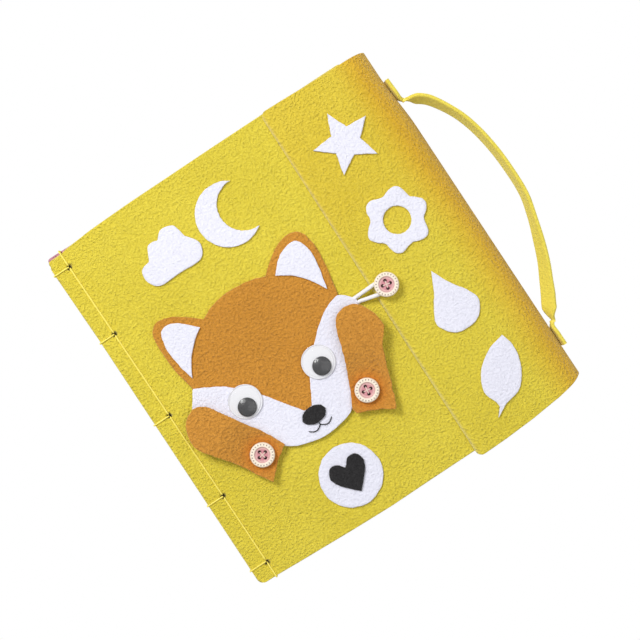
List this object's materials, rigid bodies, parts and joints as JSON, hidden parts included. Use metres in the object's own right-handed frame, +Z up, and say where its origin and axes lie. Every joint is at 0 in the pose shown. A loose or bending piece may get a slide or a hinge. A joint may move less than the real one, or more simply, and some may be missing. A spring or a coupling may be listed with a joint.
{
  "type": "quiet book",
  "caption": "Soft felt quiet book for toddlers: fox face with wobbly eyes and turning paws, stab-bound leaves, fore-edge flap held by an elastic loop and button, carrying strap.",
  "frame": {"origin": "middle of the back cover's underside, on the surface that the book lies on", "axes": "+X from the binding to the fore-edge and strap, +Y along the binding to the head of the book, +Z up through the front cover"},
  "size_m": [0.2668, 0.2365, 0.0341],
  "materials": {
    "yellow_felt": "matte pressed felt",
    "orange_felt": "matte pressed felt",
    "white_felt": "matte pressed felt",
    "black_felt": "matte pressed felt",
    "pink_felt": "matte pressed felt",
    "blue_felt": "matte pressed felt",
    "green_felt": "matte pressed felt",
    "red_felt": "matte pressed felt",
    "yellow_thread": "twisted thread",
    "white_thread": "twisted thread",
    "black_thread": "twisted thread",
    "white_elastic": "braided elastic",
    "button_plastic": "satin moulded plastic",
    "eye_white": "gloss",
    "eye_clear": "clear gloss",
    "eye_black": "gloss"
  },
  "bodies": {
    "binding": {"back_cover": "yellow_felt", "front_cover_margin": "yellow_felt", "leaf_margin_1": "green_felt", "leaf_margin_2": "red_felt", "leaf_margin_3": "blue_felt", "leaf_margin_4": "pink_felt", "spacer_1": "yellow_felt", "spacer_2": "yellow_felt", "spacer_3": "yellow_felt", "spacer_4": "yellow_felt", "binding_thread": "yellow_thread"},
    "first_leaf": {"leaf_1": "green_felt"},
    "second_leaf": {"leaf_2": "red_felt", "page_triangle": "yellow_felt"},
    "third_leaf": {"leaf_3": "blue_felt", "page_square": "white_felt"},
    "fourth_leaf": {"leaf_4": "pink_felt", "page_circle": "orange_felt"},
    "cover": {"front_cover": "yellow_felt", "fox_head": "orange_felt", "left_inner_ear": "white_felt", "right_inner_ear": "white_felt", "muzzle": "white_felt", "nose": "black_felt", "mouth_thread": "black_thread", "left_eye_back": "eye_white", "right_eye_back": "eye_white", "left_eye_dome": "eye_clear", "right_eye_dome": "eye_clear", "left_paw_button": "button_plastic", "right_paw_button": "button_plastic", "left_paw_button_thread": "white_thread", "right_paw_button_thread": "white_thread", "badge": "white_felt", "badge_heart": "black_felt", "cover_cloud": "white_felt", "cover_moon": "white_felt"},
    "paw_left": {"left_paw": "orange_felt"},
    "paw_right": {"right_paw": "orange_felt"},
    "pupil_left": {"left_pupil": "eye_black"},
    "pupil_right": {"right_pupil": "eye_black"},
    "loop": {"elastic_loop": "white_elastic"},
    "wrap": {"fore_edge": "yellow_felt", "strap_tab_head": "yellow_felt", "strap_tab_tail": "yellow_felt"},
    "carrying_strap": {"strap": "yellow_felt"},
    "button_flap": {"flap": "yellow_felt", "flap_star": "white_felt", "flap_flower": "white_felt", "flap_raindrop": "white_felt", "flap_leaf": "white_felt", "flap_button": "button_plastic", "flap_button_thread": "white_thread"}
  },
  "joints": [
    {"name": "front_cover_fold", "type": "hinge", "parent": "binding", "child": "cover", "pos_m": [-0.1024, 0, 0.0263], "axis": [0, -1, 0], "range_deg": [0, 160]},
    {"name": "leaf_1_fold", "type": "hinge", "parent": "binding", "child": "first_leaf", "pos_m": [-0.0812, 0, 0.0051], "axis": [0, -1, 0], "range_deg": [0, 3.2]},
    {"name": "leaf_2_fold", "type": "hinge", "parent": "binding", "child": "second_leaf", "pos_m": [-0.0858, 0, 0.01], "axis": [0, -1, 0], "range_deg": [0, 4.32]},
    {"name": "leaf_3_fold", "type": "hinge", "parent": "binding", "child": "third_leaf", "pos_m": [-0.0904, 0, 0.0149], "axis": [0, -1, 0], "range_deg": [0, 108]},
    {"name": "leaf_4_fold", "type": "hinge", "parent": "binding", "child": "fourth_leaf", "pos_m": [-0.095, 0, 0.0198], "axis": [0, -1, 0], "range_deg": [0, 115.2]},
    {"name": "left_paw_turn", "type": "hinge", "parent": "cover", "child": "paw_left", "pos_m": [-0.0708, -0.0516, 0.0247], "axis": [0, 0, 1], "range_deg": [-48, 40], "deforming": ["left_paw"]},
    {"name": "right_paw_turn", "type": "hinge", "parent": "cover", "child": "paw_right", "pos_m": [0.0024, -0.0538, 0.0247], "axis": [0, 0, 1], "range_deg": [-30, 52], "deforming": ["right_paw"]},
    {"name": "left_pupil_roll", "type": "hinge", "parent": "cover", "child": "pupil_left", "pos_m": [-0.0622, -0.0196, 0.0291], "axis": [0, 0, 1], "continuous": true},
    {"name": "right_pupil_roll", "type": "hinge", "parent": "cover", "child": "pupil_right", "pos_m": [-0.0126, -0.0238, 0.0291], "axis": [0, 0, 1], "continuous": true},
    {"name": "loop_lift", "type": "hinge", "parent": "cover", "child": "loop", "pos_m": [0.0282, -0.0056, 0.02625], "axis": [0, -1, 0], "range_deg": [0, 120], "deforming": ["elastic_loop"]},
    {"name": "fore_edge_fold", "type": "hinge", "parent": "binding", "child": "wrap", "pos_m": [0.1003, 0, 0], "axis": [0, 1, 0], "range_deg": [0, 40]},
    {"name": "strap_swing", "type": "hinge", "parent": "wrap", "child": "carrying_strap", "pos_m": [0.12, 0, 0.0137], "axis": [0, -1, 0], "range_deg": [0, 75]},
    {"name": "flap_fold", "type": "hinge", "parent": "wrap", "child": "button_flap", "pos_m": [0.1003, 0, 0.0274], "axis": [0, 1, 0], "range_deg": [0, 120]}
  ],
  "couplings": [
    {"joint": "leaf_1_fold", "follows": "front_cover_fold", "ratio": 0.02},
    {"joint": "leaf_2_fold", "follows": "front_cover_fold", "ratio": 0.027},
    {"joint": "leaf_3_fold", "follows": "front_cover_fold", "ratio": 0.675},
    {"joint": "leaf_4_fold", "follows": "front_cover_fold", "ratio": 0.72}
  ]
}
